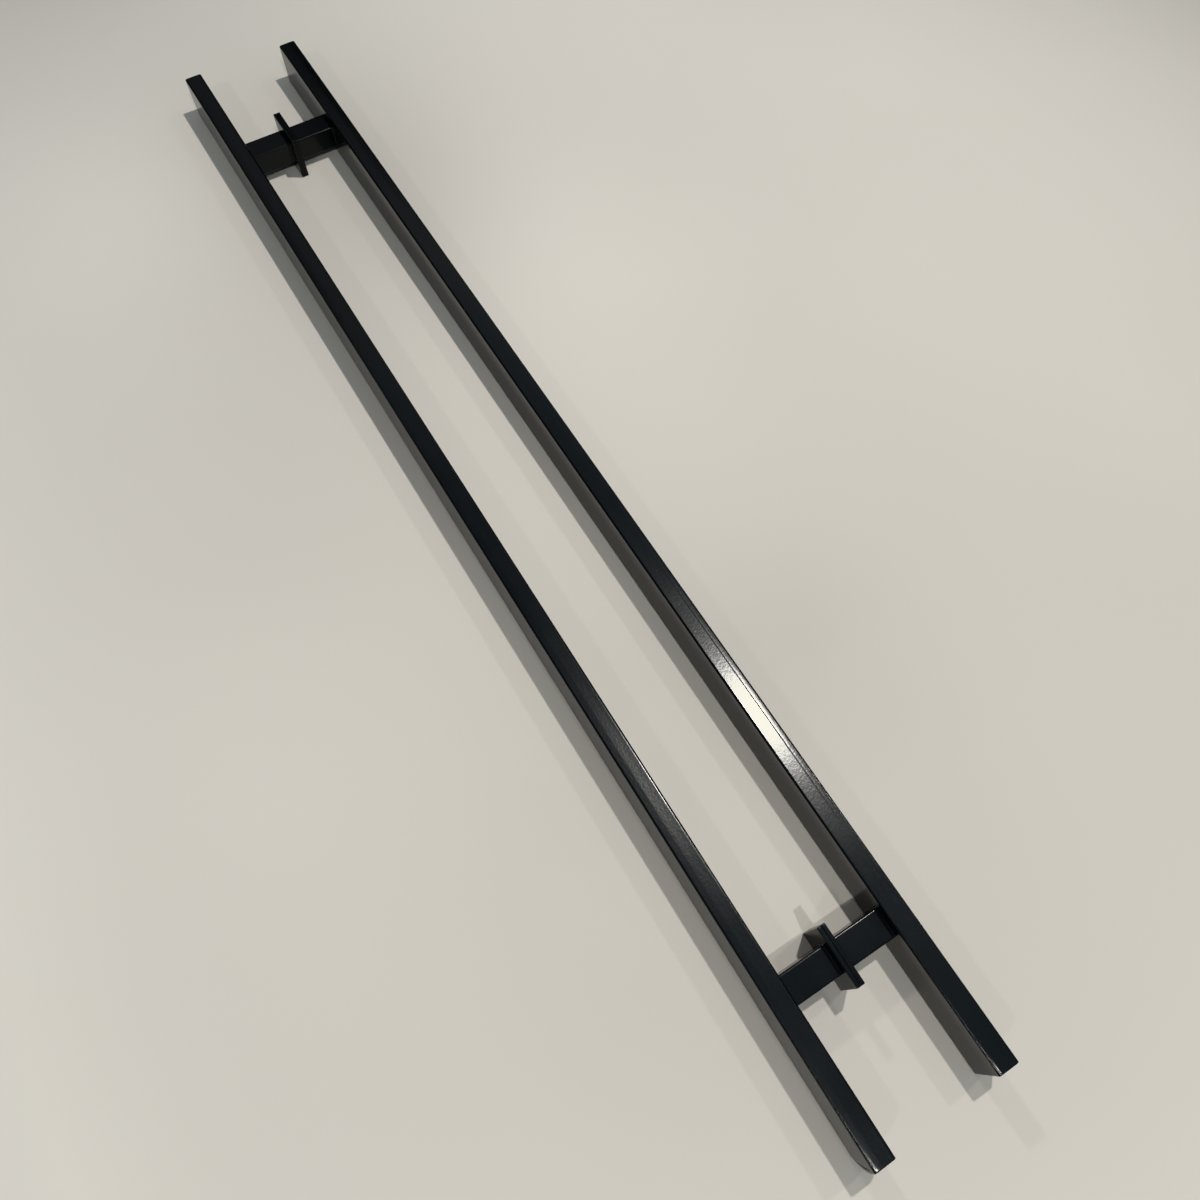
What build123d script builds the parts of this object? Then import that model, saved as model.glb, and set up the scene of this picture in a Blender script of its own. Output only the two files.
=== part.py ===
from build123d import *
import os

# Back-to-back pair of long flat pull handles, lying on the narrow edges of
# its two grip bars with the mounting plates face to face between them.
# Frame: +X along the bars (head end at -X, foot end at +X), +Y from the left
# handle to the right handle, +Z up from the surface it lies on.  Origin: the
# middle of the footprint, on that surface.  Millimetres.

# ------------------------------------------------------------- dimensions
bar_length = 1000.0        # end to end, caps included
bar_thickness = 15.0       # Y, the narrow side of the rectangular tube
bar_width = 38.0           # Z, the broad side of the tube
bar_wall = 1.5
bar_corner_r = 1.6         # outside corner radius of the rolled tube
bar_bore_r = 0.4           # inside corner radius of the tube

cap_thickness = 2.0        # flat plate that closes each end of a tube
cap_edge_r = 0.7           # ground edge around the outer face of a cap

post_pitch = 800.0         # between the two posts of one handle
post_size = 20.0           # square tube
post_wall = 2.0
post_corner_r = 1.2
post_bore_r = 0.3
post_length = 35.0         # from the bar's inner face to the plate's back

plate_length = 40.0        # X
plate_height = bar_width   # Z, flush with the edges of the bar
plate_thickness = 3.0      # Y
plate_edge_r = 0.4
plate_hole_r = 4.5         # stud clearance

plug_size = post_size - 2 * post_wall
plug_length = 14.0
plug_corner_r = 0.6
tapped_r = 4.0             # nominal thread, drawn as a plain wall
reamed_r = 4.25            # stud clearance in the right handle's plugs

stud_r = 3.98
stud_length = 60.0
stud_chamfer = 0.8

grub_r = 2.98
grub_hole_r = 3.0
grub_length = 5.0
grub_socket = 3.0          # across flats
grub_socket_depth = 2.4
grub_chamfer = 0.5

# ------------------------------------------------------- derived positions
plate_back = plate_thickness                       # |Y|
bar_inner = plate_thickness + post_length          # |Y| 38
bar_outer = bar_inner + bar_thickness              # |Y| 53
bar_mid = (bar_inner + bar_outer) / 2
mid_z = bar_width / 2
tube_half = bar_length / 2 - cap_thickness
post_x = post_pitch / 2
plug_mid = plate_thickness + plug_length / 2       # |Y| of a plug's middle
post_bottom = mid_z - post_size / 2
grub_bottom = mid_z - stud_r - 0.02 - grub_length

os.makedirs("parts", exist_ok=True)

# ---------------------------------------------------------------- grip bars
# Rectangular tube standing on its narrow edge.
with BuildPart() as left_bar_tube:
    with BuildSketch(Plane.YZ.offset(-tube_half)):
        with Locations((-bar_mid, mid_z)):
            RectangleRounded(bar_thickness, bar_width, bar_corner_r)
            RectangleRounded(bar_thickness - 2 * bar_wall,
                             bar_width - 2 * bar_wall, bar_bore_r,
                             mode=Mode.SUBTRACT)
    extrude(amount=2 * tube_half)
left_bar_tube.part.label = "left_bar_tube"
export_step(left_bar_tube.part, "parts/left_bar_tube.step")

with BuildPart() as right_bar_tube:
    with BuildSketch(Plane.YZ.offset(-tube_half)):
        with Locations((bar_mid, mid_z)):
            RectangleRounded(bar_thickness, bar_width, bar_corner_r)
            RectangleRounded(bar_thickness - 2 * bar_wall,
                             bar_width - 2 * bar_wall, bar_bore_r,
                             mode=Mode.SUBTRACT)
    extrude(amount=2 * tube_half)
right_bar_tube.part.label = "right_bar_tube"
export_step(right_bar_tube.part, "parts/right_bar_tube.step")

# ----------------------------------------------------------------- end caps
# A flat cap is welded over each mouth of a tube and dressed flush with it.
with BuildPart() as left_cap_head:
    with BuildSketch(Plane.YZ.offset(-bar_length / 2)):
        with Locations((-bar_mid, mid_z)):
            RectangleRounded(bar_thickness, bar_width, bar_corner_r)
    extrude(amount=cap_thickness)
    fillet(left_cap_head.faces().sort_by(Axis.X)[0].edges(), radius=cap_edge_r)
left_cap_head.part.label = "left_cap_head"
export_step(left_cap_head.part, "parts/left_cap_head.step")

with BuildPart() as left_cap_foot:
    with BuildSketch(Plane.YZ.offset(tube_half)):
        with Locations((-bar_mid, mid_z)):
            RectangleRounded(bar_thickness, bar_width, bar_corner_r)
    extrude(amount=cap_thickness)
    fillet(left_cap_foot.faces().sort_by(Axis.X)[-1].edges(), radius=cap_edge_r)
left_cap_foot.part.label = "left_cap_foot"
export_step(left_cap_foot.part, "parts/left_cap_foot.step")

with BuildPart() as right_cap_head:
    with BuildSketch(Plane.YZ.offset(-bar_length / 2)):
        with Locations((bar_mid, mid_z)):
            RectangleRounded(bar_thickness, bar_width, bar_corner_r)
    extrude(amount=cap_thickness)
    fillet(right_cap_head.faces().sort_by(Axis.X)[0].edges(), radius=cap_edge_r)
right_cap_head.part.label = "right_cap_head"
export_step(right_cap_head.part, "parts/right_cap_head.step")

with BuildPart() as right_cap_foot:
    with BuildSketch(Plane.YZ.offset(tube_half)):
        with Locations((bar_mid, mid_z)):
            RectangleRounded(bar_thickness, bar_width, bar_corner_r)
    extrude(amount=cap_thickness)
    fillet(right_cap_foot.faces().sort_by(Axis.X)[-1].edges(), radius=cap_edge_r)
right_cap_foot.part.label = "right_cap_foot"
export_step(right_cap_foot.part, "parts/right_cap_foot.step")

# -------------------------------------------------------------------- posts
# Square tube from the back of a plate to the inner face of a bar.  Sketches
# on Plane.XZ have their normal along -Y, so each post is drawn on its face
# nearest +Y and grows towards -Y.
with BuildPart() as left_post_head:
    with BuildSketch(Plane.XZ.offset(plate_back)):
        with Locations((-post_x, mid_z)):
            RectangleRounded(post_size, post_size, post_corner_r)
            RectangleRounded(plug_size, plug_size, post_bore_r,
                             mode=Mode.SUBTRACT)
    extrude(amount=post_length)
left_post_head.part.label = "left_post_head"
export_step(left_post_head.part, "parts/left_post_head.step")

with BuildPart() as left_post_foot:
    with BuildSketch(Plane.XZ.offset(plate_back)):
        with Locations((post_x, mid_z)):
            RectangleRounded(post_size, post_size, post_corner_r)
            RectangleRounded(plug_size, plug_size, post_bore_r,
                             mode=Mode.SUBTRACT)
    extrude(amount=post_length)
left_post_foot.part.label = "left_post_foot"
export_step(left_post_foot.part, "parts/left_post_foot.step")

# The right handle's posts are tapped through the lower wall for a grub screw.
with BuildPart() as right_post_head:
    with BuildSketch(Plane.XZ.offset(-bar_inner)):
        with Locations((-post_x, mid_z)):
            RectangleRounded(post_size, post_size, post_corner_r)
            RectangleRounded(plug_size, plug_size, post_bore_r,
                             mode=Mode.SUBTRACT)
    extrude(amount=post_length)
    with BuildSketch(Plane.XY.offset(post_bottom - 1)):
        with Locations((-post_x, plug_mid)):
            Circle(grub_hole_r)
    extrude(amount=post_wall + 2, mode=Mode.SUBTRACT)
right_post_head.part.label = "right_post_head"
export_step(right_post_head.part, "parts/right_post_head.step")

with BuildPart() as right_post_foot:
    with BuildSketch(Plane.XZ.offset(-bar_inner)):
        with Locations((post_x, mid_z)):
            RectangleRounded(post_size, post_size, post_corner_r)
            RectangleRounded(plug_size, plug_size, post_bore_r,
                             mode=Mode.SUBTRACT)
    extrude(amount=post_length)
    with BuildSketch(Plane.XY.offset(post_bottom - 1)):
        with Locations((post_x, plug_mid)):
            Circle(grub_hole_r)
    extrude(amount=post_wall + 2, mode=Mode.SUBTRACT)
right_post_foot.part.label = "right_post_foot"
export_step(right_post_foot.part, "parts/right_post_foot.step")

# ---------------------------------------------------------- mounting plates
# One flat plate on the end of each post, with a clearance hole for the stud.
with BuildPart() as left_plate_head:
    with BuildSketch(Plane.XZ):
        with Locations((-post_x, mid_z)):
            Rectangle(plate_length, plate_height)
            Circle(plate_hole_r, mode=Mode.SUBTRACT)
    extrude(amount=plate_thickness)
    fillet(left_plate_head.edges().filter_by(GeomType.LINE), radius=plate_edge_r)
left_plate_head.part.label = "left_plate_head"
export_step(left_plate_head.part, "parts/left_plate_head.step")

with BuildPart() as left_plate_foot:
    with BuildSketch(Plane.XZ):
        with Locations((post_x, mid_z)):
            Rectangle(plate_length, plate_height)
            Circle(plate_hole_r, mode=Mode.SUBTRACT)
    extrude(amount=plate_thickness)
    fillet(left_plate_foot.edges().filter_by(GeomType.LINE), radius=plate_edge_r)
left_plate_foot.part.label = "left_plate_foot"
export_step(left_plate_foot.part, "parts/left_plate_foot.step")

with BuildPart() as right_plate_head:
    with BuildSketch(Plane.XZ.offset(-plate_thickness)):
        with Locations((-post_x, mid_z)):
            Rectangle(plate_length, plate_height)
            Circle(plate_hole_r, mode=Mode.SUBTRACT)
    extrude(amount=plate_thickness)
    fillet(right_plate_head.edges().filter_by(GeomType.LINE), radius=plate_edge_r)
right_plate_head.part.label = "right_plate_head"
export_step(right_plate_head.part, "parts/right_plate_head.step")

with BuildPart() as right_plate_foot:
    with BuildSketch(Plane.XZ.offset(-plate_thickness)):
        with Locations((post_x, mid_z)):
            Rectangle(plate_length, plate_height)
            Circle(plate_hole_r, mode=Mode.SUBTRACT)
    extrude(amount=plate_thickness)
    fillet(right_plate_foot.edges().filter_by(GeomType.LINE), radius=plate_edge_r)
right_plate_foot.part.label = "right_plate_foot"
export_step(right_plate_foot.part, "parts/right_plate_foot.step")

# ------------------------------------------------------ plugs in the posts
# Steel blocks that fill the plate end of each post.  The left handle's are
# tapped for the studs; the right handle's are reamed and take a grub screw.
with BuildPart() as left_tapped_plug_head:
    with BuildSketch(Plane.XZ.offset(plate_back)):
        with Locations((-post_x, mid_z)):
            RectangleRounded(plug_size, plug_size, plug_corner_r)
            Circle(tapped_r, mode=Mode.SUBTRACT)
    extrude(amount=plug_length)
left_tapped_plug_head.part.label = "left_tapped_plug_head"
export_step(left_tapped_plug_head.part, "parts/left_tapped_plug_head.step")

with BuildPart() as left_tapped_plug_foot:
    with BuildSketch(Plane.XZ.offset(plate_back)):
        with Locations((post_x, mid_z)):
            RectangleRounded(plug_size, plug_size, plug_corner_r)
            Circle(tapped_r, mode=Mode.SUBTRACT)
    extrude(amount=plug_length)
left_tapped_plug_foot.part.label = "left_tapped_plug_foot"
export_step(left_tapped_plug_foot.part, "parts/left_tapped_plug_foot.step")

with BuildPart() as right_reamed_plug_head:
    with BuildSketch(Plane.XZ.offset(-plate_back - plug_length)):
        with Locations((-post_x, mid_z)):
            RectangleRounded(plug_size, plug_size, plug_corner_r)
            Circle(reamed_r, mode=Mode.SUBTRACT)
    extrude(amount=plug_length)
    with BuildSketch(Plane.XY.offset(post_bottom)):
        with Locations((-post_x, plug_mid)):
            Circle(grub_hole_r)
    extrude(amount=post_size / 2, mode=Mode.SUBTRACT)
right_reamed_plug_head.part.label = "right_reamed_plug_head"
export_step(right_reamed_plug_head.part, "parts/right_reamed_plug_head.step")

with BuildPart() as right_reamed_plug_foot:
    with BuildSketch(Plane.XZ.offset(-plate_back - plug_length)):
        with Locations((post_x, mid_z)):
            RectangleRounded(plug_size, plug_size, plug_corner_r)
            Circle(reamed_r, mode=Mode.SUBTRACT)
    extrude(amount=plug_length)
    with BuildSketch(Plane.XY.offset(post_bottom)):
        with Locations((post_x, plug_mid)):
            Circle(grub_hole_r)
    extrude(amount=post_size / 2, mode=Mode.SUBTRACT)
right_reamed_plug_foot.part.label = "right_reamed_plug_foot"
export_step(right_reamed_plug_foot.part, "parts/right_reamed_plug_foot.step")

# -------------------------------------------------------------------- studs
# One stud per post pair, screwed into the left plug and slid into the right.
with BuildPart() as stud_head:
    with BuildSketch(Plane.XZ.offset(-stud_length / 2)):
        with Locations((-post_x, mid_z)):
            Circle(stud_r)
    extrude(amount=stud_length)
    chamfer(stud_head.edges().filter_by(GeomType.CIRCLE), length=stud_chamfer)
stud_head.part.label = "stud_head"
export_step(stud_head.part, "parts/stud_head.step")

with BuildPart() as stud_foot:
    with BuildSketch(Plane.XZ.offset(-stud_length / 2)):
        with Locations((post_x, mid_z)):
            Circle(stud_r)
    extrude(amount=stud_length)
    chamfer(stud_foot.edges().filter_by(GeomType.CIRCLE), length=stud_chamfer)
stud_foot.part.label = "stud_foot"
export_step(stud_foot.part, "parts/stud_foot.step")

# -------------------------------------------------------------- grub screws
# Socket set screw, driven up from below until its tip meets the stud.
with BuildPart() as grub_screw_head:
    with BuildSketch(Plane.XY.offset(grub_bottom)):
        with Locations((-post_x, plug_mid)):
            Circle(grub_r)
    extrude(amount=grub_length)
    chamfer(grub_screw_head.edges().filter_by(GeomType.CIRCLE), length=grub_chamfer)
    with BuildSketch(Plane.XY.offset(grub_bottom)):
        with Locations((-post_x, plug_mid)):
            RegularPolygon(grub_socket / 2, 6, major_radius=False)
    extrude(amount=grub_socket_depth, mode=Mode.SUBTRACT)
grub_screw_head.part.label = "grub_screw_head"
export_step(grub_screw_head.part, "parts/grub_screw_head.step")

with BuildPart() as grub_screw_foot:
    with BuildSketch(Plane.XY.offset(grub_bottom)):
        with Locations((post_x, plug_mid)):
            Circle(grub_r)
    extrude(amount=grub_length)
    chamfer(grub_screw_foot.edges().filter_by(GeomType.CIRCLE), length=grub_chamfer)
    with BuildSketch(Plane.XY.offset(grub_bottom)):
        with Locations((post_x, plug_mid)):
            RegularPolygon(grub_socket / 2, 6, major_radius=False)
    extrude(amount=grub_socket_depth, mode=Mode.SUBTRACT)
grub_screw_foot.part.label = "grub_screw_foot"
export_step(grub_screw_foot.part, "parts/grub_screw_foot.step")
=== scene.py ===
import math
import bpy
import bmesh
from mathutils import Matrix, Vector


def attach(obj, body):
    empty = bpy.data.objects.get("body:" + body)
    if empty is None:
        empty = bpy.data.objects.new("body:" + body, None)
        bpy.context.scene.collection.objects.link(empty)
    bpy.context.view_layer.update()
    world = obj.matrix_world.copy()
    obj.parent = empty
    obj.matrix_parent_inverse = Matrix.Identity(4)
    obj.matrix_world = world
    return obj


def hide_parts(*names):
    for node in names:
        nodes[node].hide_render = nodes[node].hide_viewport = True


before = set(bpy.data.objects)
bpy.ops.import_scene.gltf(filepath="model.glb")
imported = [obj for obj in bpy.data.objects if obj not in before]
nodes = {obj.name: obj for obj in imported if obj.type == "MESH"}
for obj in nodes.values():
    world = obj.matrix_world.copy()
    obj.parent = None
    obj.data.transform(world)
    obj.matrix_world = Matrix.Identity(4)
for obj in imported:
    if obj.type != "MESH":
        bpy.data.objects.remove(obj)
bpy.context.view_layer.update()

MM = 0.001
scene = bpy.context.scene

# ------------------------------------------------------------------ camera
cam_data = bpy.data.cameras.new("camera")
cam = bpy.data.objects.new("camera", cam_data)
scene.collection.objects.link(cam)
RIGHT = (0.5242417122, 0.8511544252, 0.0265851777)
DOWN = (0.7832424641, -0.4696906715, -0.4073351391)
AHEAD = (-0.3342182962, 0.2343647108, -0.9128917312)
EYE = (0.348198, -0.155390, 0.637220)
cam.matrix_world = Matrix((
    (RIGHT[0], -DOWN[0], -AHEAD[0], EYE[0]),
    (RIGHT[1], -DOWN[1], -AHEAD[1], EYE[1]),
    (RIGHT[2], -DOWN[2], -AHEAD[2], EYE[2]),
    (0, 0, 0, 1),
))
cam_data.sensor_width = 36.0
cam_data.sensor_fit = "HORIZONTAL"
cam_data.lens = 28.5114
cam_data.clip_start = 0.01
cam_data.clip_end = 50.0
scene.camera = cam
scene.view_settings.view_transform = "Standard"
scene.view_settings.look = "None"

# a soft shoulder for the brightest light only, a little earlier in blue, as a phone camera has
scene.view_settings.use_curve_mapping = True
shoulder = scene.view_settings.curve_mapping
shoulder.clip_max_x = 8.0
shoulder.extend = "HORIZONTAL"
for channel, (knee, top) in enumerate(((0.66, 0.945), (0.64, 0.915), (0.58, 0.80))):
    points = shoulder.curves[channel].points
    points[0].location = (0.0, 0.0)
    points[1].location = (8.0, top + 0.02)
    for x, y in ((knee / 2, knee / 2), (knee, knee), (knee + 0.5 * (top - knee) / 0.8, knee + 0.5 * (top - knee)),
                 (knee + 1.6 * (top - knee), knee + 0.84 * (top - knee)), (2.2, top)):
        points.new(x, y)
    for q in points:
        q.handle_type = "VECTOR" if q.location[0] < knee - 0.01 else "AUTO_CLAMPED"
shoulder.update()


# ------------------------------------------------------------------ node helpers
class Tree:
    """A short way to write a material's node tree."""

    def __init__(self, name):
        self.mat = bpy.data.materials.new(name)
        self.mat.use_nodes = True
        self.nt = self.mat.node_tree
        self.nt.nodes.clear()
        self.out = self.nt.nodes.new("ShaderNodeOutputMaterial")
        self.bsdf = self.nt.nodes.new("ShaderNodeBsdfPrincipled")
        self.link(self.bsdf.outputs[0], self.out.inputs["Surface"])
        self.where = self.nt.nodes.new("ShaderNodeTexCoord").outputs["Object"]

    def link(self, a, b):
        self.nt.links.new(a, b)

    def put(self, value, socket):
        if isinstance(value, bpy.types.NodeSocket):
            self.link(value, socket)
        else:
            socket.default_value = value

    def scaled(self, sx, sy, sz):
        n = self.nt.nodes.new("ShaderNodeMapping")
        n.inputs["Scale"].default_value = (sx, sy, sz)
        self.link(self.where, n.inputs["Vector"])
        return n.outputs[0]

    def noise(self, scale, detail=2.0, rough=0.5, vector=None, distort=0.0):
        n = self.nt.nodes.new("ShaderNodeTexNoise")
        n.inputs["Scale"].default_value = scale
        n.inputs["Detail"].default_value = detail
        n.inputs["Roughness"].default_value = rough
        n.inputs["Distortion"].default_value = distort
        self.link(vector if vector is not None else self.where, n.inputs["Vector"])
        return n.outputs["Fac"]

    def voronoi(self, scale, feature="F1", vector=None, randomness=1.0):
        n = self.nt.nodes.new("ShaderNodeTexVoronoi")
        n.feature = feature
        n.inputs["Scale"].default_value = scale
        n.inputs["Randomness"].default_value = randomness
        self.link(vector if vector is not None else self.where, n.inputs["Vector"])
        return n

    def spread(self, value, a, b, c=0.0, d=1.0, smooth=False):
        n = self.nt.nodes.new("ShaderNodeMapRange")
        n.interpolation_type = "SMOOTHSTEP" if smooth else "LINEAR"
        n.clamp = True
        self.put(value, n.inputs["Value"])
        n.inputs["From Min"].default_value = a
        n.inputs["From Max"].default_value = b
        n.inputs["To Min"].default_value = c
        n.inputs["To Max"].default_value = d
        return n.outputs["Result"]

    def math(self, op, a, b=0.0, c=0.0):
        n = self.nt.nodes.new("ShaderNodeMath")
        n.operation = op
        for value, socket in zip((a, b, c), n.inputs):
            self.put(value, socket)
        return n.outputs[0]

    def blend(self, fac, a, b, mode="MIX"):
        n = self.nt.nodes.new("ShaderNodeMix")
        n.data_type = "RGBA"
        n.blend_type = mode
        self.put(fac, n.inputs["Factor"])
        for value, socket in ((a, n.inputs["A"]), (b, n.inputs["B"])):
            if not isinstance(value, bpy.types.NodeSocket):
                value = (*value, 1.0)
            self.put(value, socket)
        return n.outputs["Result"]

    def axis(self, vector, i):
        n = self.nt.nodes.new("ShaderNodeSeparateXYZ")
        self.link(vector, n.inputs[0])
        return n.outputs[i]

    def bump(self, height, distance, strength=1.0, under=None):
        n = self.nt.nodes.new("ShaderNodeBump")
        n.inputs["Strength"].default_value = strength
        n.inputs["Distance"].default_value = distance
        self.link(height, n.inputs["Height"])
        if under is not None:
            self.link(under, n.inputs["Normal"])
        return n.outputs[0]

    def set(self, **values):
        for name, value in values.items():
            self.put(value, self.bsdf.inputs[name.replace("_", " ")])


# ------------------------------------------------------------------ materials
COAT_DEEP = (0.0006, 0.0014, 0.0020)
COAT_PALE = (0.0010, 0.0021, 0.0029)


def powder_coat(name, rough=0.1665, peel=1.0, dust=1.0, shine=0.29):
    """Satin black powder coat: a fine orange peel with small pits, cloudy gloss, a few settled dust specks."""
    t = Tree(name)
    up = t.nt.nodes.new("ShaderNodeNewGeometry").outputs["Normal"]
    up = t.spread(t.axis(up, 2), 0.35, 0.95)
    cloud = t.noise(22.0, 3.0, 0.55)
    streak = t.noise(1.0, 3.0, 0.6, t.scaled(14.0, 260.0, 260.0))
    fine = t.noise(900.0, 2.0, 0.6)
    peel_wide = t.noise(520.0, 1.0, 0.5)
    pits = t.voronoi(640.0).outputs["Distance"]
    pit = t.spread(pits, 0.02, 0.20, 0.0, 1.0, True)
    speck_cell = t.voronoi(300.0)
    speck_here = t.spread(t.axis(speck_cell.outputs["Color"], 0), 0.955, 0.985)
    speck_dot = t.spread(speck_cell.outputs["Distance"], 0.16, 0.03, 0.0, 1.0, True)
    specks = t.math("MULTIPLY", t.math("MULTIPLY", speck_here, speck_dot), up)
    film = t.math("MULTIPLY", t.spread(cloud, 0.50, 0.78), up)

    body = t.blend(cloud, COAT_DEEP, COAT_PALE)
    body = t.blend(t.spread(fine, 0.35, 0.75, 0.0, 0.35), body, (0.0016, 0.0029, 0.0037))
    body = t.blend(t.math("MULTIPLY", film, 0.03 * dust), body, (0.055, 0.055, 0.050))
    body = t.blend(t.math("MULTIPLY", specks, 0.35 * dust), body, (0.11, 0.11, 0.10))

    gloss = t.math("ADD", t.spread(cloud, 0.25, 0.75, rough - 0.012, rough + 0.020),
                   t.spread(streak, 0.3, 0.7, -0.008, 0.008))
    gloss = t.math("ADD", gloss, t.math("MULTIPLY", specks, 0.35))
    gloss = t.math("ADD", gloss, t.spread(fine, 0.3, 0.8, 0.0, 0.02))

    grain = t.math("ADD", t.math("MULTIPLY", fine, 0.55), t.math("MULTIPLY", peel_wide, 1.2))
    grain = t.math("ADD", grain, t.math("MULTIPLY", pit, 0.35))
    t.set(Base_Color=body, Roughness=gloss, Normal=t.bump(grain, 0.0000120 * peel))
    t.bsdf.inputs["IOR"].default_value = 1.5
    t.bsdf.inputs["Specular IOR Level"].default_value = shine
    return t.mat


def bare_steel(name):
    """Machined plug: turned rings across Y, straw oxide near the weld, oily patches."""
    t = Tree(name)
    cloud = t.noise(160.0, 3.0, 0.6)
    lines = t.noise(1.0, 2.0, 0.5, t.scaled(120.0, 5200.0, 120.0))
    pit = t.noise(2600.0, 2.0, 0.6)
    body = t.blend(t.spread(cloud, 0.35, 0.7), (0.40, 0.39, 0.38), (0.24, 0.20, 0.16))
    body = t.blend(t.spread(pit, 0.55, 0.8, 0.0, 0.5), body, (0.10, 0.07, 0.05))
    t.set(Base_Color=body, Roughness=t.spread(cloud, 0.3, 0.7, 0.28, 0.46))
    t.set(Normal=t.bump(t.math("ADD", lines, t.math("MULTIPLY", pit, 0.4)), 0.000012))
    t.bsdf.inputs["Metallic"].default_value = 1.0
    return t.mat


def zinc(name):
    """Bright zinc plate on a thread, with a faint yellow and blue passivation."""
    t = Tree(name)
    cloud = t.noise(230.0, 3.0, 0.55)
    fine = t.noise(3800.0, 2.0, 0.6)
    body = t.blend(t.spread(cloud, 0.35, 0.65), (0.60, 0.62, 0.66), (0.62, 0.58, 0.46))
    body = t.blend(t.spread(fine, 0.6, 0.85, 0.0, 0.4), body, (0.30, 0.31, 0.32))
    t.set(Base_Color=body, Roughness=t.spread(cloud, 0.3, 0.7, 0.24, 0.38), Normal=t.bump(fine, 0.000006))
    t.bsdf.inputs["Metallic"].default_value = 1.0
    return t.mat


def black_oxide(name):
    """Black oxide finish of a hardened screw, worn brighter in places."""
    t = Tree(name)
    cloud = t.noise(420.0, 3.0, 0.6)
    fine = t.noise(4200.0, 2.0, 0.6)
    body = t.blend(t.spread(cloud, 0.4, 0.75), (0.022, 0.023, 0.026), (0.055, 0.052, 0.048))
    body = t.blend(t.spread(fine, 0.66, 0.85, 0.0, 0.5), body, (0.16, 0.15, 0.14))
    t.set(Base_Color=body, Roughness=t.spread(cloud, 0.3, 0.7, 0.34, 0.5), Normal=t.bump(fine, 0.000006))
    t.bsdf.inputs["Metallic"].default_value = 0.85
    return t.mat


BAR = powder_coat("powder_coat_bar", peel=1.7, dust=0.45)
POST = powder_coat("powder_coat_post", rough=0.165, peel=1.5, shine=0.19)
PLATE = powder_coat("powder_coat_plate", rough=0.19, peel=1.6, shine=0.14)
STEEL = bare_steel("machined_steel")
ZINC = zinc("zinc_plate")
OXIDE = black_oxide("black_oxide")


# ------------------------------------------------------------------ mesh helpers
def make(name, bm, material, sharp=35.0):
    """Turns a closed bmesh in metres into a smooth-shaded object with sharp edges where faces meet steeply."""
    bmesh.ops.recalc_face_normals(bm, faces=bm.faces[:])
    for f in bm.faces:
        f.smooth = True
    limit = math.radians(sharp)
    for e in bm.edges:
        if len(e.link_faces) == 2 and e.calc_face_angle(0.0) > limit:
            e.smooth = False
    me = bpy.data.meshes.new(name)
    bm.to_mesh(me)
    bm.free()
    me.materials.append(material)
    o = bpy.data.objects.new(name, me)
    scene.collection.objects.link(o)
    return o


def drill(o, x, y, low, high, radius, ease, sharp=50.0):
    """Cuts a round hole up into a piece from below, its mouth a little countersunk. All in mm."""
    bm = bmesh.new()
    rings = []
    for z, r in ((low - 1.0, radius + ease + 1.0), (low + ease, radius), (high, radius)):
        rings.append([bm.verts.new(((x + r * math.cos(2 * math.pi * i / 64)) * MM, (y + r * math.sin(2 * math.pi * i / 64)) * MM, z * MM))
                      for i in range(64)])
    for a, b in zip(rings, rings[1:]):
        strip(bm, a, b)
    bm.faces.new(list(reversed(rings[0])))
    bm.faces.new(rings[-1])
    bmesh.ops.recalc_face_normals(bm, faces=bm.faces[:])
    me = bpy.data.meshes.new("cutter")
    bm.to_mesh(me)
    bm.free()
    cutter = bpy.data.objects.new("cutter", me)
    scene.collection.objects.link(cutter)
    cut = o.modifiers.new("hole", "BOOLEAN")
    cut.operation, cut.solver, cut.object = "DIFFERENCE", "EXACT", cutter
    done = bpy.data.meshes.new_from_object(o.evaluated_get(bpy.context.evaluated_depsgraph_get()))
    o.modifiers.clear()
    bpy.data.objects.remove(cutter)
    bpy.data.meshes.remove(me)
    bm = bmesh.new()
    bm.from_mesh(done)
    for f in bm.faces:
        f.smooth = True
        f.material_index = 0
    limit = math.radians(sharp)
    for e in bm.edges:
        e.smooth = not (len(e.link_faces) == 2 and e.calc_face_angle(0.0) > limit)
    bm.to_mesh(done)
    bm.free()
    o.data = done
    return o


def piece(o, slot, *cad):
    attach(o, "root")
    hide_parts(*cad)
    return o


def strip(bm, a, b):
    """Quads between two closed rings of equal length."""
    n = len(a)
    for i in range(n):
        j = (i + 1) % n
        bm.faces.new((a[i], a[j], b[j], b[i]))


def spaced(a, b, n):
    return [a + (b - a) * i / n for i in range(n + 1)]


def section(width, height, r, arcs, bottom, side, top):
    """A closed rounded rectangle as (across, up, face) points from the lower left corner, anticlockwise.
    bottom, side and top list the places of the points along each flat between the corner arcs."""
    pts = []
    for u in bottom:
        pts.append((u, 0.0, "bottom"))
    corner = [(width - r, r, -90), (width - r, height - r, 0), (r, height - r, 90), (r, r, 180)]

    def arc(k):
        cx, cy, a0 = corner[k]
        for i in range(1, arcs):
            a = math.radians(a0 + 90.0 * i / arcs)
            pts.append((cx + r * math.cos(a), cy + r * math.sin(a), "arc"))

    arc(0)
    for v in side:
        pts.append((width, v, "right"))
    arc(1)
    for u in reversed(top):
        pts.append((u, height, "top"))
    arc(2)
    for v in reversed(side):
        pts.append((0.0, v, "left"))
    arc(3)
    return pts


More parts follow.
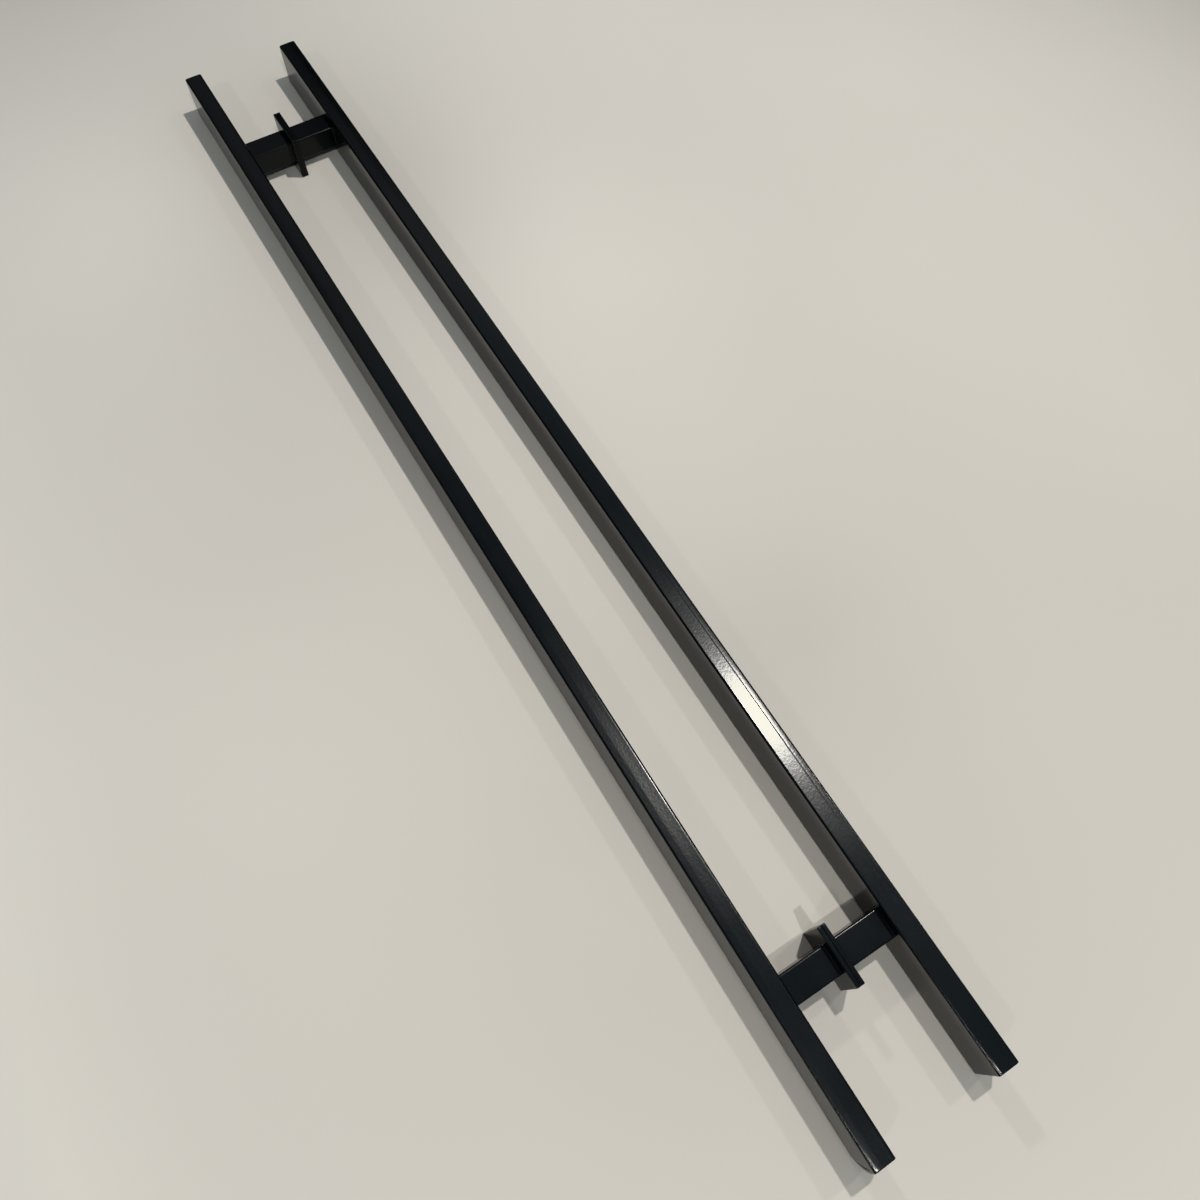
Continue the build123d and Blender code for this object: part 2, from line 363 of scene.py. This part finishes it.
# ------------------------------------------------------------------ bars
# The rolled tube's upper face is crowned by a few tenths of a millimetre to each side of its ground
# seam, which runs 5 mm from the outer face. Each list holds (mm from the -Y face, mm above the face).
CROWN = {
    "left": [(0.0, -0.080), (1.6, -0.098), (1.8, -0.094), (5.2, 0.005), (5.5, 0.011),
             (5.8, 0.012), (10.2, 0.010), (10.6, 0.010), (12.0, 0.016), (13.2, 0.028),
             (13.4, 0.019), (15.0, 0.001)],
    "right": [(0.0, -0.220), (1.6, -0.238), (1.8, -0.234), (9.5, -0.038), (9.8, -0.034),
             (10.0, -0.041), (10.5, -0.097), (10.9, -0.100), (11.2, -0.092), (11.8, -0.0818),
             (12.0, -0.0818), (13.2, -0.1030), (13.4, -0.1080), (15.0, -0.1260)],
}


def read_list(table, x):
    for (a, fa), (b, fb) in zip(table, table[1:]):
        if x <= b:
            return fa + (fb - fa) * max(0.0, x - a) / max(b - a, 1e-9)
    return table[-1][1]


def wobble(x, phase, size):
    """A slow, repeatable waviness of a rolled face along the bar, in mm."""
    return size * (math.sin(x * 6.2832 / 173.0 + phase) * 0.55 + math.sin(x * 6.2832 / 97.0 + 2.3 * phase + 1.0) * 0.28
                   + math.sin(x * 6.2832 / 61.0 + 4.1 * phase + 0.4) * 0.17)


WIDE, TALL, RADIUS, WALL, BORE_R, BAR_ARC = 15.0, 38.0, 1.6, 1.5, 0.4, 12
PHASE = {"left": 0.7, "right": 2.9}
# how each bar's foot end was dressed: the lean's width (mm) and slope, where it starts, then where the
# droop starts, its curve (mm per mm squared) and over how many mm it dies out
TIP = {"left": (2.3, 0.083, 485.0, 496.0, 0.0062, 0.8), "right": (2.2, 0.185, 484.0, 490.0, 0.0025, 12.0)}


def bar_section(hand):
    top = sorted({round(t, 3) for t, _ in CROWN[hand] if 1.6 <= t <= 13.4} | {TIP[hand][0], TIP[hand][0] + 0.8, 4.0, 7.5, 8.6, 12.6})
    bottom = [1.6, 1.9, 5.0, 8.0, 11.0, 13.1, 13.4]
    side = [1.6, 1.9, 3.0, 4.2, 5.6, 7.2, 9.0, 11.0, 13.5, 16.0, 19.0, 22.0, 25.0, 28.0, 31.0, 34.0, 36.1, 36.4]
    return section(WIDE, TALL, RADIUS, BAR_ARC, bottom, side, top), (bottom, side, top)


def tip(hand, x, u):
    """The last millimetres of the foot end droop a little and lean outward beside the outer face."""
    wide, slope, lean_from, droop_from, curve, fade = TIP[hand]
    lean = slope * min(1.0, max(0.0, (x - lean_from) / 8.0)) * max(0.0, wide - max(u, 1.6))
    droop = curve * max(0.0, x - droop_from) ** 2 * min(1.0, max(0.0, 1.0 - (u - wide) / fade))
    return -lean - droop


def bar_ring(bm, hand, base_y, x, pull=0.0):
    """One outer ring of a bar at x mm. pull draws the ring inward, for a rounded end."""
    pts, _ = bar_section(hand)
    ph = PHASE[hand]
    ring = []
    for u, v, face in pts:
        dz = dy = 0.0
        share = min(1.0, max(0.0, (v - TALL + RADIUS) / RADIUS)) if v > TALL - RADIUS else 0.0
        dz += read_list(CROWN[hand], u) * share + wobble(x, ph, 0.022) * share + tip(hand, x, u) * share
        if face in ("left", "right") or face == "arc":
            lift = min(1.0, max(0.0, min(v, TALL - v) / RADIUS))
            dy += wobble(x + 40.0, ph * (1.3 if u < 7.5 else 1.9), 0.030) * lift * (-1 if u < 7.5 else 1) * (1.0 - share)
        cu, cv = u + dy, v + dz
        cu += (WIDE / 2 - cu) * pull / (WIDE / 2)
        cv += (TALL / 2 - cv) * pull / (TALL / 2)
        ring.append(bm.verts.new((x * MM, (base_y + cu) * MM, cv * MM)))
    return ring


def bore_ring(bm, hand, base_y, x):
    """The bore's ring, with as many points as the outer ring."""
    pts, (bottom, side, top) = bar_section(hand)
    w, h = WIDE - 2 * WALL, TALL - 2 * WALL

    def fit(values, size, full):
        return [BORE_R + (size - 2 * BORE_R) * (v - RADIUS) / (full - 2 * RADIUS) for v in values]

    inner = section(w, h, BORE_R, BAR_ARC, fit(bottom, w, WIDE), fit(side, h, TALL), fit(top, w, WIDE))
    return [bm.verts.new((x * MM, (base_y + WALL + u) * MM, (WALL + v) * MM)) for u, v, _ in inner]


# The left bar's foot was ground by hand: seen from the side it bulges a little and is rounded at its lower
# corner. The other three ends are straight. Each pair holds (mm above the floor, mm along the bar).
FOOT_END = [(0.0, 493.0), (0.8, 494.6), (2.0, 495.9), (4.0, 497.3), (6.0, 498.5), (9.0, 499.6), (13.0, 500.6), (18.0, 501.3),
            (23.0, 501.5), (28.0, 501.2), (33.0, 500.6), (36.0, 500.2), (38.0, 500.0)]


def round_off(bm, hand):
    if hand != "left":
        return
    for v in bm.verts:
        x, z = v.co.x / MM, min(38.0, max(0.0, v.co.z / MM))
        if x > 484.0:
            v.co.x = (484.0 + (x - 484.0) * (read_list(FOOT_END, z) - 484.0) / 16.0) * MM


def bar_tube(hand, base_y):
    bm = bmesh.new()
    xs = spaced(-498.0, 486.0, 164) + spaced(486.0, 498.0, 10)[1:]
    outer = [bar_ring(bm, hand, base_y, x) for x in xs]
    inner = [bore_ring(bm, hand, base_y, x) for x in spaced(-498.0, 486.0, 12) + [492.0, 498.0]]
    for a, b in zip(outer, outer[1:]):
        strip(bm, a, b)
    for a, b in zip(inner, inner[1:]):
        strip(bm, b, a)
    strip(bm, inner[0], outer[0])
    strip(bm, outer[-1], inner[-1])
    round_off(bm, hand)
    return make(f"{hand}_bar", bm, BAR)


def bar_cap(hand, base_y, end):
    """A 2 mm plate welded over the tube's mouth, ground flush, its outer edge eased."""
    sign = 1 if end == "foot" else -1
    bm = bmesh.new()
    ease = 0.7
    steps = [(0.0, 0.0), (0.6, 0.0), (2.0 - ease, 0.0)]
    for i in range(1, 7):
        a = math.radians(90.0 * i / 6)
        steps.append((2.0 - ease + ease * math.sin(a), ease * (1 - math.cos(a))))
    rings = [bar_ring(bm, hand, base_y, sign * (498.0 + d), pull) for d, pull in steps]
    for a, b in zip(rings, rings[1:]):
        strip(bm, a, b)
    # the end face closes over its middle line, so that no long fan of faces shows
    last = rings[-1]
    for scale in (0.93, 0.7, 0.4):
        mid_y, mid_z = (base_y + WIDE / 2) * MM, TALL / 2 * MM
        ring = [bm.verts.new((v.co.x, mid_y + (v.co.y - mid_y) * scale, mid_z + (v.co.z - mid_z) * scale)) for v in last]
        if scale != 0.93:
            strip(bm, prev, ring)
        else:
            strip(bm, last, ring)
        prev = ring
    bm.faces.new(prev)
    bm.faces.new(rings[0])
    if end == "foot":
        round_off(bm, hand)
    return make(f"{hand}_end_cap_{end}", bm, BAR)


BASE_Y = {"left": -53.0, "right": 38.0}
for hand in ("left", "right"):
    piece(bar_tube(hand, BASE_Y[hand]), "bar_coat", f"{hand}_bar_tube")
    for end in ("head", "foot"):
        piece(bar_cap(hand, BASE_Y[hand], end), "bar_coat", f"{hand}_cap_{end}")


# ------------------------------------------------------------------ posts
POST_SIZE, POST_R, POST_WALL, POST_BORE_R = 20.0, 1.2, 2.0, 0.4


def post(hand, end):
    """A square tube between bar and plate. The coat pools into a tiny fillet where it meets each of them."""
    x0 = (-400.0 if end == "head" else 400.0) - POST_SIZE / 2
    z0 = 9.0
    y_bar, y_plate = (-38.0, -3.0) if hand == "left" else (38.0, 3.0)
    way = 1 if y_plate > y_bar else -1
    flat = [1.2, 1.45, 5.0, 10.0, 15.0, 18.55, 18.8]
    outer_pts = section(POST_SIZE, POST_SIZE, POST_R, 8, flat, flat, flat)
    n_in = POST_SIZE - 2 * POST_WALL
    inner_flat = [POST_BORE_R + (n_in - 2 * POST_BORE_R) * (v - 1.2) / 17.6 for v in flat]
    inner_pts = section(n_in, n_in, POST_BORE_R, 8, inner_flat, inner_flat, inner_flat)
    bm = bmesh.new()
    fillet = 0.45
    # places along the post from the bar's face, with how far the ring stands out
    steps = [(d, out) for out, d in [(fillet * (1 - math.sin(math.radians(90 * i / 4))), fillet * (1 - math.cos(math.radians(90 * i / 4)))) for i in range(5)]]
    run = [(d, 0.0) for d in spaced(1.0, 34.0, 11)]
    back = [(35.0 - d, out) for d, out in reversed(steps)]
    rings = []
    for d, out in steps + run + back:
        ring = []
        for u, v, face in outer_pts:
            cu, cv = u - POST_SIZE / 2, v - POST_SIZE / 2
            grow = (POST_SIZE / 2 + out) / (POST_SIZE / 2)
            ring.append(bm.verts.new(((x0 + POST_SIZE / 2 + cu * grow) * MM, (y_bar + way * d) * MM, (z0 + POST_SIZE / 2 + cv * grow) * MM)))
        rings.append(ring)
    for a, b in zip(rings, rings[1:]):
        strip(bm, a, b)
    holes = []
    for d in (0.0, 17.5, 35.0):
        holes.append([bm.verts.new(((x0 + POST_WALL + u) * MM, (y_bar + way * d) * MM, (z0 + POST_WALL + v) * MM)) for u, v, _ in inner_pts])
    for a, b in zip(holes, holes[1:]):
        strip(bm, b, a)
    strip(bm, holes[0], rings[0])
    strip(bm, rings[-1], holes[-1])
    return make(f"{hand}_standoff_{end}", bm, POST, sharp=50.0)


for hand in ("left", "right"):
    for end in ("head", "foot"):
        tube = post(hand, end)
        if hand == "right":
            # the grub screw that holds the stud goes in from below
            drill(tube, -400.0 if end == "head" else 400.0, 10.0, 9.0, 11.6, 3.0, 0.25)
        piece(tube, "post_coat", f"{hand}_post_{end}")


# ------------------------------------------------------------------ plates
def plate(hand, end):
    """A flat plate with eased edges and a round hole."""
    xc = -400.0 if end == "head" else 400.0
    w, h, thick, ease, hole = 40.0, 38.0, 3.0, 0.4, 4.5
    y_in, y_out = (-3.0, 0.0) if hand == "left" else (3.0, 0.0)
    way = 1 if y_out > y_in else -1
    flat_w = [0.8, 1.1, 10.0, 20.0, 30.0, 38.9, 39.2]
    flat_h = [0.8, 1.1, 10.0, 19.0, 28.0, 36.9, 37.2]
    pts = section(w, h, 0.8, 4, flat_w, flat_h, flat_w)
    bm = bmesh.new()

    def ring(d, pull):
        out = []
        for u, v, _ in pts:
            cu, cv = u - w / 2, v - h / 2
            cu *= (w / 2 - pull) / (w / 2)
            cv *= (h / 2 - pull) / (h / 2)
            out.append(bm.verts.new(((xc + cu) * MM, (y_in + way * d) * MM, (h / 2 + cv) * MM)))
        return out

    def hole_ring(d, r):
        out = []
        for u, v, _ in pts:
            a = math.atan2(v - h / 2, u - w / 2)
            out.append(bm.verts.new(((xc + r * math.cos(a)) * MM, (y_in + way * d) * MM, (h / 2 + r * math.sin(a)) * MM)))
        return out

    arc = [(ease * (1 - math.cos(math.radians(90 * i / 4))), ease * (1 - math.sin(math.radians(90 * i / 4)))) for i in range(5)]
    rings = [hole_ring(0.0, 8.0), ring(0.0, 1.6)] + [ring(d, pull) for d, pull in arc]
    rings += [ring(thick - d, pull) for d, pull in reversed(arc)] + [ring(thick, 1.6), hole_ring(thick, 8.0)]
    rings += [hole_ring(thick, hole + 0.2), hole_ring(thick - 0.2, hole), hole_ring(0.2, hole), hole_ring(0.0, hole + 0.2)]
    for a, b in zip(rings, rings[1:] + rings[:1]):
        strip(bm, a, b)
    return make(f"{hand}_mounting_plate_{end}", bm, PLATE, sharp=50.0)


for hand in ("left", "right"):
    for end in ("head", "foot"):
        piece(plate(hand, end), "plate_coat", f"{hand}_plate_{end}")


# ------------------------------------------------------------------ hidden hardware
def repaint(name, material):
    o = nodes[name]
    o.data.materials.clear()
    o.data.materials.append(material)


AROUND, PER_TURN = 36, 12


def thread_rings(low, high, major, minor, pitch, ease):
    """Rings (place along the axis, radius at each of AROUND angles) of a cut thread with chamfered ends."""
    count = int(round((high - low) / pitch * PER_TURN))
    rings = []
    for j in range(count + 1):
        at = low + (high - low) * j / count
        limit = major - max(0.0, ease - min(at - low, high - at))
        radii = []
        for i in range(AROUND):
            turn = (at / pitch - i / AROUND) % 1.0
            off = abs(turn - 0.5) * 2.0
            share = min(1.0, max(0.0, (0.75 - off) / 0.625))
            radii.append(min(limit, minor + (major - minor) * share))
        rings.append((at, radii))
    return rings


def turned(name, rings, spot, material):
    """A closed piece from rings around an axis; spot(at, radius, angle) gives the point in mm."""
    bm = bmesh.new()
    made = []
    for at, radii in rings:
        made.append([bm.verts.new([c * MM for c in spot(at, r, 2 * math.pi * i / AROUND)]) for i, r in enumerate(radii)])
    for a, b in zip(made, made[1:]):
        strip(bm, a, b)
    bm.faces.new(list(reversed(made[0])))
    bm.faces.new(made[-1])
    return make(name, bm, material)


def stud(end):
    """8 mm threaded rod, pitch 1.25 mm, with chamfered ends."""
    x = -400.0 if end == "head" else 400.0
    rings = thread_rings(-30.0, 30.0, 3.97, 3.30, 1.25, 0.8)
    return turned(f"threaded_stud_{end}", rings, lambda at, r, a: (x + r * math.cos(a), at, 19.0 + r * math.sin(a)), ZINC)


def grub_screw(end):
    """6 mm socket set screw, pitch 1 mm: a hexagon socket below, a cup point above."""
    x = -400.0 if end == "head" else 400.0
    body = thread_rings(10.0, 15.0, 2.97, 2.42, 1.0, 0.55)
    hexagon = [1.5 / math.cos(math.radians((10 * i + 30) % 60 - 30)) for i in range(AROUND)]
    socket = [(12.85, [0.3] * AROUND), (12.4, [0.9 * r for r in hexagon]), (12.4, hexagon), (10.22, hexagon), (10.0, [1.85] * AROUND)]
    cup = [(15.0, [1.7] * AROUND), (14.45, [0.9] * AROUND), (14.2, [0.3] * AROUND)]
    return turned(f"socket_screw_{end}", socket + body + cup,
                  lambda at, r, a: (x + r * math.cos(a), 10.0 + r * math.sin(a), at), OXIDE)


for end in ("head", "foot"):
    repaint(f"left_tapped_plug_{end}", STEEL)
    repaint(f"right_reamed_plug_{end}", STEEL)
    piece(stud(end), "stud_zinc", f"stud_{end}")
    piece(grub_screw(end), "grub_black", f"grub_screw_{end}")


# ------------------------------------------------------------------ floor
# painted light and shade on the floor, a slow drift: each term is a share times x to a power and y to a power
PAINTED_LIGHT_FIELD = ((-0.2662, 1, 0), (-0.0156, 0, 1), (0.0831, 2, 0), (0.0071, 1, 1), (0.3937, 0, 2), (0.1494, 3, 0),
        (-0.0642, 2, 1), (0.0555, 1, 2), (-0.2074, 0, 3))


# broad, soft pools of painted light and painted shade on the floor, among them painted shade between the bars near the
# head: middle x, y, reach x, y (m), share
PAINTED_LIGHT_PATCHES = ((-0.411, -0.171, 0.106, 0.076, 0.124), (-0.149, 0.084, 0.129, 0.108, 0.261),
           (0.214, 0.105, 0.066, 0.086, -0.086), (0.104, -0.237, 0.120, 0.087, 0.095),
           (0.047, 0.603, 0.350, 0.300, 0.038), (-0.279, 0.039, 0.170, 0.083, -0.233),
           (-0.744, 0.302, 0.186, 0.300, 0.300), (0.370, -0.020, 0.190, 0.180, -0.028))


def floor_material():
    t = Tree("floor_paint_with_painted_light")
    wide = t.noise(2.2, 2.0, 0.5)
    mid = t.noise(11.0, 3.0, 0.55)
    fine = t.noise(650.0, 2.0, 0.6)
    body = t.blend(t.spread(wide, 0.3, 0.7), (0.598, 0.560, 0.512), (0.628, 0.587, 0.536))
    body = t.blend(t.spread(mid, 0.35, 0.7, 0.0, 0.35), body, (0.612, 0.577, 0.534))
    # painted light and shade: the floor's colour is made lighter in some places and darker in others, in a slow drift
    # over the floor that follows how strongly the lamps' light falls there
    u = t.math("MULTIPLY", t.axis(t.where, 0), 2.0)
    v = t.math("MULTIPLY", t.axis(t.where, 1), 2.0)
    painted_light = 0.936
    for k, i, j in PAINTED_LIGHT_FIELD:
        term = k
        for axis, times in ((u, i), (v, j)):
            for _ in range(times):
                term = t.math("MULTIPLY", axis, term)
        painted_light = t.math("ADD", term, painted_light)
    painted_light = t.spread(painted_light, 0.86, 1.34, 0.86, 1.34)
    # each patch paints a pool of light into the floor's colour where its share is above zero, and painted shade where
    # it is below
    painted_patch = 1.0
    for px, py, rx, ry, share in PAINTED_LIGHT_PATCHES:
        dx = t.math("DIVIDE", t.math("SUBTRACT", t.axis(t.where, 0), px), rx)
        dy = t.math("DIVIDE", t.math("SUBTRACT", t.axis(t.where, 1), py), ry)
        far = t.math("ADD", t.math("MULTIPLY", dx, dx), t.math("MULTIPLY", dy, dy))
        here = t.math("EXPONENT", t.math("MULTIPLY", far, -0.5))
        painted_patch = t.math("ADD", t.math("MULTIPLY", here, share), painted_patch)
    painted_light = t.math("MULTIPLY", painted_light, painted_patch)
    body = t.blend(1.0, body, painted_light, "MULTIPLY")
    t.set(Base_Color=body, Roughness=t.spread(mid, 0.3, 0.7, 0.52, 0.62), Normal=t.bump(fine, 0.00002))
    t.bsdf.inputs["Specular IOR Level"].default_value = 0.25
    return t.mat


bm = bmesh.new()
bmesh.ops.create_grid(bm, x_segments=8, y_segments=8, size=5.0)
me = bpy.data.meshes.new("floor")
bm.to_mesh(me)
bm.free()
me.materials.append(floor_material())
floor = bpy.data.objects.new("floor", me)
scene.collection.objects.link(floor)


# ------------------------------------------------------------------ light
def lamp(name, place, power, across=0.10, target=(0.0, 0.0, 0.0), spread=180.0, colour=(1, 1, 1)):
    data = bpy.data.lights.new(name, "AREA")
    data.shape = "DISK"
    data.size = across
    data.energy = power
    data.spread = math.radians(spread)
    data.color = colour
    o = bpy.data.objects.new(name, data)
    scene.collection.objects.link(o)
    o.location = place
    away = Vector(place) - Vector(target)
    o.rotation_mode = "QUATERNION"
    o.rotation_quaternion = away.to_track_quat("Z", "Y")
    return o


def spot(name, place, power, across, target, half, colour=(1, 1, 1)):
    """A lamp whose light fades away from its middle, half degrees to each side."""
    data = bpy.data.lights.new(name, "SPOT")
    data.energy = power
    data.shadow_soft_size = across / 2
    data.spot_size = math.radians(2 * half)
    data.spot_blend = 1.0
    data.color = colour
    o = bpy.data.objects.new(name, data)
    scene.collection.objects.link(o)
    o.location = place
    o.rotation_mode = "QUATERNION"
    o.rotation_quaternion = (Vector(place) - Vector(target)).to_track_quat("Z", "Y")
    return o


WARM = (1.0, 0.975, 0.922)
SOFT = (1.0, 0.985, 0.918)
lamp("lamp_main", (-0.032, 0.555, 1.8168), 19.4, 0.055, (0.1, 0.1, 0.0), colour=WARM)
lamp("lamp_left", (0.990, -1.303, 1.817), 3.9, 0.08, (0.1, 0.0, 0.0), colour=SOFT)
lamp("lamp_right", (0.250, 1.247, 1.817), 1.75, 0.08, (0.2, 0.0, 0.0), colour=SOFT)
lamp("lamp_foot", (1.088, -0.143, 1.817), 8.8, 0.05, (0.42, 0.0, 0.0), colour=SOFT)
spot("spot_foot", (1.088, -0.143, 1.817), 9.0, 0.05, (0.36, 0.0, 0.0), 12.0, colour=SOFT)
spot("spot_right", (0.250, 1.247, 1.817), 13.5, 0.08, (0.30, 0.0, 0.0), 18.0, colour=SOFT)
spot("spot_head", (-1.79, 0.02, 1.817), 48.0, 0.16, (0.45, 0.0, 0.0), 8.0, colour=SOFT)

world = bpy.data.worlds.new("room")
scene.world = world
world.use_nodes = True
nt = world.node_tree
nt.nodes.clear()
out = nt.nodes.new("ShaderNodeOutputWorld")
back = nt.nodes.new("ShaderNodeBackground")
nt.links.new(back.outputs[0], out.inputs["Surface"])
coord = nt.nodes.new("ShaderNodeTexCoord").outputs["Generated"]
sep = nt.nodes.new("ShaderNodeSeparateXYZ")
nt.links.new(coord, sep.inputs[0])


def wmath(op, a, b=0.0):
    n = nt.nodes.new("ShaderNodeMath")
    n.operation = op
    for value, socket in zip((a, b), n.inputs):
        if isinstance(value, bpy.types.NodeSocket):
            nt.links.new(value, socket)
        else:
            socket.default_value = value
    return n.outputs[0]


def wrange(value, a, b, c=0.0, d=1.0):
    n = nt.nodes.new("ShaderNodeMapRange")
    n.interpolation_type = "SMOOTHSTEP"
    nt.links.new(value, n.inputs["Value"])
    for k, v in (("From Min", a), ("From Max", b), ("To Min", c), ("To Max", d)):
        n.inputs[k].default_value = v
    return n.outputs["Result"]


lean = nt.nodes.new("ShaderNodeVectorMath")
lean.operation = "DOT_PRODUCT"
nt.links.new(coord, lean.inputs[0])
lean.inputs[1].default_value = (0.62, 0.05, 0.78)
ramp = nt.nodes.new("ShaderNodeValToRGB")
nt.links.new(lean.outputs["Value"], ramp.inputs["Fac"])
ramp.color_ramp.interpolation = "EASE"
el = ramp.color_ramp.elements
el[0].position, el[0].color = 0.0, (0.015, 0.021, 0.025, 1)
el[1].position, el[1].color = 1.0, (0.18, 0.27, 0.34, 1)
for at, value in ((0.35, 0.045), (0.62, 0.115), (0.82, 0.195)):
    e = el.new(at)
    e.color = (value * 0.76, value * 0.98, value * 1.16, 1)
# the ceiling's lighter strip over the bars, which ends at a dark wall beyond the right bar's head
high = wmath("MAXIMUM", sep.outputs[2], 0.05)
along = wmath("DIVIDE", wmath("MULTIPLY", sep.outputs[0], -1.0), high)
aside = wmath("DIVIDE", sep.outputs[1], high)
offset = wmath("SUBTRACT", aside, 0.34)
near = wmath("MINIMUM", wmath("DIVIDE", offset, 0.22), wmath("DIVIDE", offset, 0.75))
strip_w = wmath("EXPONENT", wmath("MULTIPLY", wmath("MULTIPLY", near, near), -1.0))
edge = wmath("ADD", along, wmath("MULTIPLY", wmath("MINIMUM", wmath("SUBTRACT", aside, 0.257), 0.025), 5.0))
strip_e = wrange(edge, 1.25, 1.11)
strip_f = wmath("MULTIPLY", wrange(along, -0.9, 0.2), wrange(along, 0.36, 0.74, 0.45, 1.0))
strip_g = wrange(sep.outputs[2], 0.10, 0.45)
glow = wmath("MULTIPLY", wmath("MULTIPLY", strip_w, strip_e), wmath("MULTIPLY", strip_f, strip_g))
hue = nt.nodes.new("ShaderNodeMix")
hue.data_type = "RGBA"
nt.links.new(wrange(along, 0.55, 0.95), hue.inputs["Factor"])
for key, value in (("A", (0.265, 0.355, 0.430, 1)), ("B", (0.440, 0.436, 0.444, 1))):
    [q for q in hue.inputs if q.name == key and q.type == "RGBA"][0].default_value = value
tint = nt.nodes.new("ShaderNodeVectorMath")
tint.operation = "SCALE"
nt.links.new([q for q in hue.outputs if q.type == "RGBA"][0], tint.inputs[0])
nt.links.new(glow, tint.inputs["Scale"])
dim = nt.nodes.new("ShaderNodeVectorMath")
dim.operation = "SCALE"
nt.links.new(ramp.outputs["Color"], dim.inputs[0])
nt.links.new(wrange(edge, 1.31, 1.17, 0.10, 1.0), dim.inputs["Scale"])
total = nt.nodes.new("ShaderNodeVectorMath")
total.operation = "ADD"
nt.links.new(dim.outputs[0], total.inputs[0])
nt.links.new(tint.outputs[0], total.inputs[1])
nt.links.new(total.outputs[0], back.inputs["Color"])
back.inputs["Strength"].default_value = 0.95
